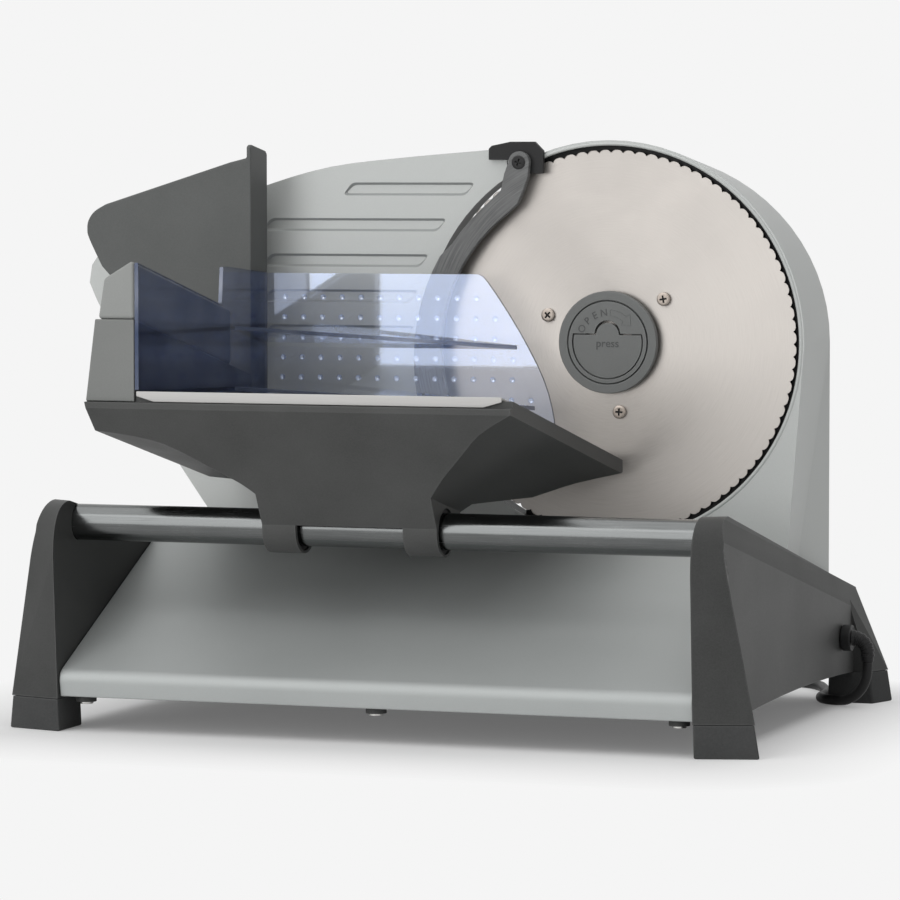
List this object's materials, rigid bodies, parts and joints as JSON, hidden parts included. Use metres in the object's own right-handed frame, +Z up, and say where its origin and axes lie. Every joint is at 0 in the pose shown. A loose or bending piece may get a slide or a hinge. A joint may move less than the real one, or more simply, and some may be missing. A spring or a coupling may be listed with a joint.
{
  "type": "food slicer",
  "caption": "Electric food slicer: serrated round blade in a silver housing, thickness guide plate, sloping tray carriage on a rail with a clear food pusher, and a footed base.",
  "frame": {"origin": "on the table, under the middle of the box round the machine without its cord", "axes": "+X to the right seen from the carriage side, +Y to the rear, +Z up"},
  "size_m": [0.402, 0.3665, 0.2845],
  "materials": {
    "cap_grey": "fine grained dark grey",
    "carriage_grey": "fine grained dark grey",
    "guard_grey": "fine grained grey",
    "wall_grey": "fine grained mid grey",
    "handle_grey": "fine grained light grey",
    "rubber": "matte",
    "silver": "satin silver paint",
    "deck_silver": "satin silver paint",
    "chrome": "bright",
    "blade_steel": "circular brush marks",
    "steel": "plain",
    "hub_grey": "fine stipple",
    "arm_grey": "brushed dark grey",
    "black": "satin",
    "clear_blue": "clear with a blue tint",
    "brass": "sintered",
    "nylon": "natural",
    "motor_grey": "plated"
  },
  "bodies": {
    "frame": {"right_end_cap": "cap_grey", "left_end_cap": "cap_grey", "front_right_foot": "rubber", "rear_right_foot": "rubber", "front_left_foot": "rubber", "rear_left_foot": "rubber", "front_deck": "deck_silver", "base_plate": "cap_grey", "base_screw_1": "steel", "base_screw_2": "steel", "base_screw_3": "steel", "guide_rail": "chrome", "blade_housing": "silver", "rear_cover": "cap_grey", "front_bush": "brass", "rear_bush": "brass", "motor": "motor_grey", "motor_cradle": "cap_grey", "shaft_block": "nylon", "guide_support": "cap_grey", "guide_bush": "brass", "support_cover": "cap_grey", "guard_bracket": "black", "guard_screw": "black", "strain_relief": "black", "power_cord": "black", "cord_coil": "black", "power_plug": "black"},
    "blade": {"blade": "blade_steel", "blade_carrier": "steel", "blade_screw_1": "steel", "blade_screw_2": "steel", "blade_screw_3": "steel", "hub_ring": "hub_grey", "spindle": "steel", "worm_wheel": "nylon"},
    "hub_lock": {"lock_disc": "hub_grey"},
    "lock_tab": {"lock_tab": "hub_grey"},
    "motor_shaft": {"motor_shaft": "steel", "worm": "brass"},
    "guide": {"guide_plate": "silver", "guide_post": "steel"},
    "dial": {"thickness_dial": "cap_grey", "dial_screw": "steel"},
    "guard_arm": {"edge_guard": "arm_grey"},
    "carriage": {"carriage_body": "carriage_grey", "left_rail_bush": "black", "right_rail_bush": "black", "tray_plate": "steel", "carriage_wall": "wall_grey", "hand_guard": "guard_grey"},
    "pusher": {"food_pusher": "clear_blue", "pusher_handle": "handle_grey"},
    "button": {"power_button": "black"}
  },
  "joints": [
    {"name": "blade_spin", "type": "hinge", "parent": "frame", "child": "blade", "pos_m": [0.0795, 0.044, 0.1845], "axis": [0, 1, 0], "continuous": true},
    {"name": "lock_turn", "type": "hinge", "parent": "blade", "child": "hub_lock", "pos_m": [0.0795, 0.044, 0.1845], "axis": [0, 1, 0], "range_deg": [0, 90]},
    {"name": "tab_flip", "type": "hinge", "parent": "hub_lock", "child": "lock_tab", "pos_m": [0.0795, 0.041, 0.1877], "axis": [-1, 0, 0], "range_deg": [0, 25]},
    {"name": "worm_spin", "type": "hinge", "parent": "frame", "child": "motor_shaft", "pos_m": [0.0795, 0.078, 0.1465], "axis": [1, 0, 0], "continuous": true},
    {"name": "guide_slide", "type": "slide", "parent": "frame", "child": "guide", "axis": [0, 1, 0], "range_m": [0, 0.012]},
    {"name": "dial_turn", "type": "hinge", "parent": "frame", "child": "dial", "pos_m": [-0.0875, 0.099, 0.165], "axis": [0, 1, 0], "range_deg": [0, 330]},
    {"name": "guard_swing", "type": "hinge", "parent": "frame", "child": "guard_arm", "pos_m": [0.0345, 0.0375, 0.2735], "axis": [0, 1, 0], "range_deg": [0, 100]},
    {"name": "carriage_slide", "type": "slide", "parent": "frame", "child": "carriage", "axis": [1, 0, 0], "range_m": [-0.08, 0.105]},
    {"name": "pusher_slide", "type": "slide", "parent": "carriage", "child": "pusher", "axis": [0, -0.9774, 0.2113], "range_m": [0, 0.13]},
    {"name": "button_press", "type": "slide", "parent": "frame", "child": "button", "axis": [0, -1, 0], "range_m": [0, 0.0025], "stiffness_N_per_m": 400}
  ],
  "couplings": [
    {"joint": "worm_spin", "follows": "blade_spin", "ratio": 36},
    {"joint": "dial_turn", "follows": "guide_slide", "rad_per_m": 479.96}
  ]
}
